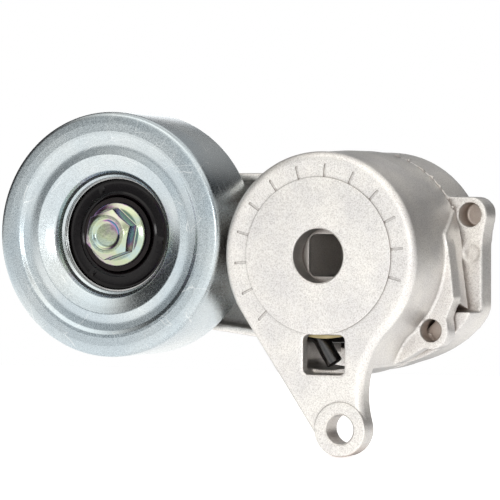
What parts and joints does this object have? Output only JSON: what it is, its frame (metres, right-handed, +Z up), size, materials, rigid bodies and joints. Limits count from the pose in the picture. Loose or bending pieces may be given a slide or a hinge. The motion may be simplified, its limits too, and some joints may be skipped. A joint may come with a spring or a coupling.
{
  "type": "belt tensioner idler",
  "caption": "Spring-loaded belt tensioner: a cast case with a bolt lug, a cast arm turning in it on a hollow post, and a flat steel idler pulley on a sealed ball bearing.",
  "frame": {"origin": "centre of the flat rear face of the arm's hub, on the pivot axis", "axes": "+Y along the pivot axis towards the rear, +X to the right seen from the front, away from the pulley, +Z up"},
  "size_m": [0.1478, 0.0616, 0.1046],
  "materials": {
    "cast_aluminium": "fine cast grain, satin",
    "zinc_steel": "bright zinc plate",
    "bolt_zinc": "iridescent passivated zinc",
    "bearing_steel": "ground",
    "seal_rubber": "moulded, slightly glossy",
    "spring_paint": "black, semi-gloss",
    "khaki_resin": "matt",
    "black_resin": "matt",
    "plain_steel": "plain"
  },
  "bodies": {
    "case": {"spring_case": "cast_aluminium", "thrust_ring": "khaki_resin", "torsion_spring": "spring_paint", "damping_sleeve": "black_resin", "front_pivot_bush": "khaki_resin", "rear_pivot_bush": "khaki_resin", "retaining_ring": "plain_steel", "dust_seal_ring": "seal_rubber"},
    "arm": {"tensioner_arm": "cast_aluminium", "rear_spring_seat": "black_resin", "bearing_inner_ring": "bearing_steel", "pulley_bolt": "bolt_zinc", "pulley_spacer": "plain_steel", "rear_dust_shield": "zinc_steel"},
    "pulley": {"pulley_shell": "zinc_steel", "bearing_outer_ring": "bearing_steel", "bearing_seal_front": "seal_rubber", "bearing_seal_rear": "seal_rubber"},
    "ball_cage": {"bearing_cage": "plain_steel", "ball_1": "bearing_steel", "ball_2": "bearing_steel", "ball_3": "bearing_steel", "ball_4": "bearing_steel", "ball_5": "bearing_steel", "ball_6": "bearing_steel", "ball_7": "bearing_steel", "ball_8": "bearing_steel"}
  },
  "joints": [
    {"name": "arm_swing", "type": "hinge", "parent": "case", "child": "arm", "pos_m": [0, -0.03, 0], "axis": [0, 1, 0], "range_deg": [0, 60], "stiffness_Nm_per_rad": 8, "springref_deg": -68.75, "deforming": ["torsion_spring"]},
    {"name": "pulley_spin", "type": "hinge", "parent": "arm", "child": "pulley", "pos_m": [-0.0707, -0.0479, 0.0061], "axis": [0, 1, 0], "continuous": true},
    {"name": "ball_cage_spin", "type": "hinge", "parent": "arm", "child": "ball_cage", "pos_m": [-0.0707, -0.0479, 0.0061], "axis": [0, 1, 0], "continuous": true}
  ],
  "couplings": [
    {"joint": "ball_cage_spin", "follows": "pulley_spin", "ratio": 0.613}
  ]
}
